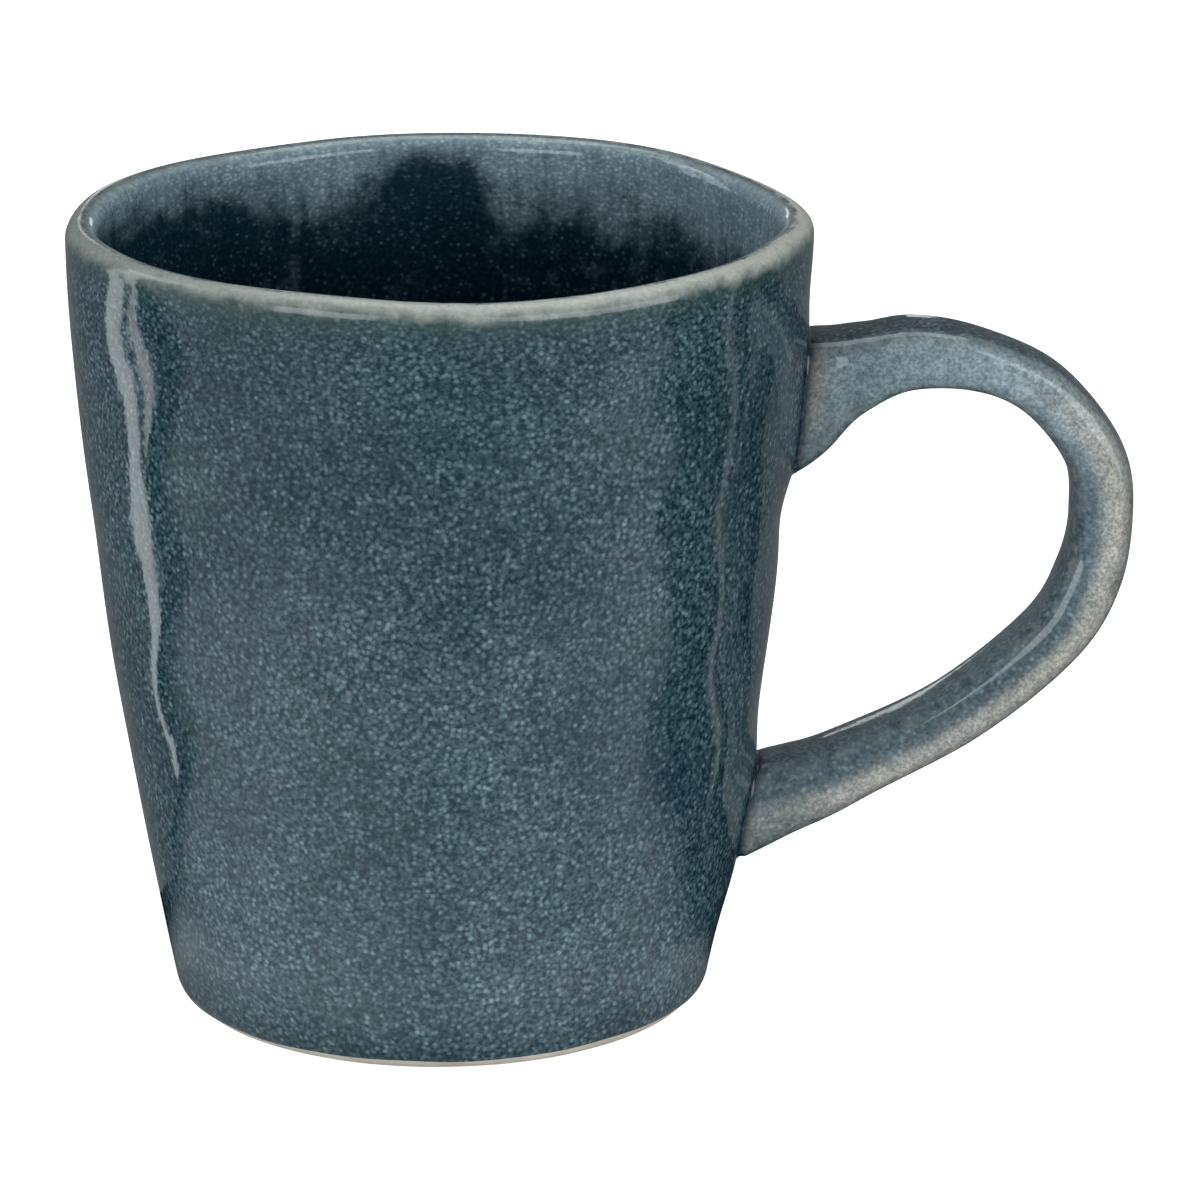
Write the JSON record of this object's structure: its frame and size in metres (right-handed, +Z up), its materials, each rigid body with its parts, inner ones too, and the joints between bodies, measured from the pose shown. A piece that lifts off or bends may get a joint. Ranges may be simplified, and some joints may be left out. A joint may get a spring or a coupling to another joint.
{
  "type": "ceramic mug",
  "caption": "Tapered stoneware mug with a round rim, a rounded heel on a bare foot ring and a curved strap handle, under a speckled blue-grey reactive glaze.",
  "frame": {"origin": "centre of the foot ring's flat face, on the table", "axes": "+Z up, from the foot to the rim; +X from the cup's axis towards the handle; +Y completes a right-handed frame"},
  "size_m": [0.13, 0.09, 0.0988],
  "materials": {
    "clay": "matte",
    "bare_clay": "matte",
    "slip": "gloss",
    "outer_glaze": "gloss",
    "inner_glaze": "gloss",
    "handle_glaze": "gloss"
  },
  "bodies": {
    "root": {"cup_body": "clay", "foot_ring": "bare_clay", "handle_core": "clay", "upper_joint": "slip", "lower_joint": "slip", "outer_glaze": "outer_glaze", "inner_glaze": "inner_glaze", "handle_glaze": "handle_glaze", "underside_glaze": "outer_glaze"}
  },
  "joints": []
}
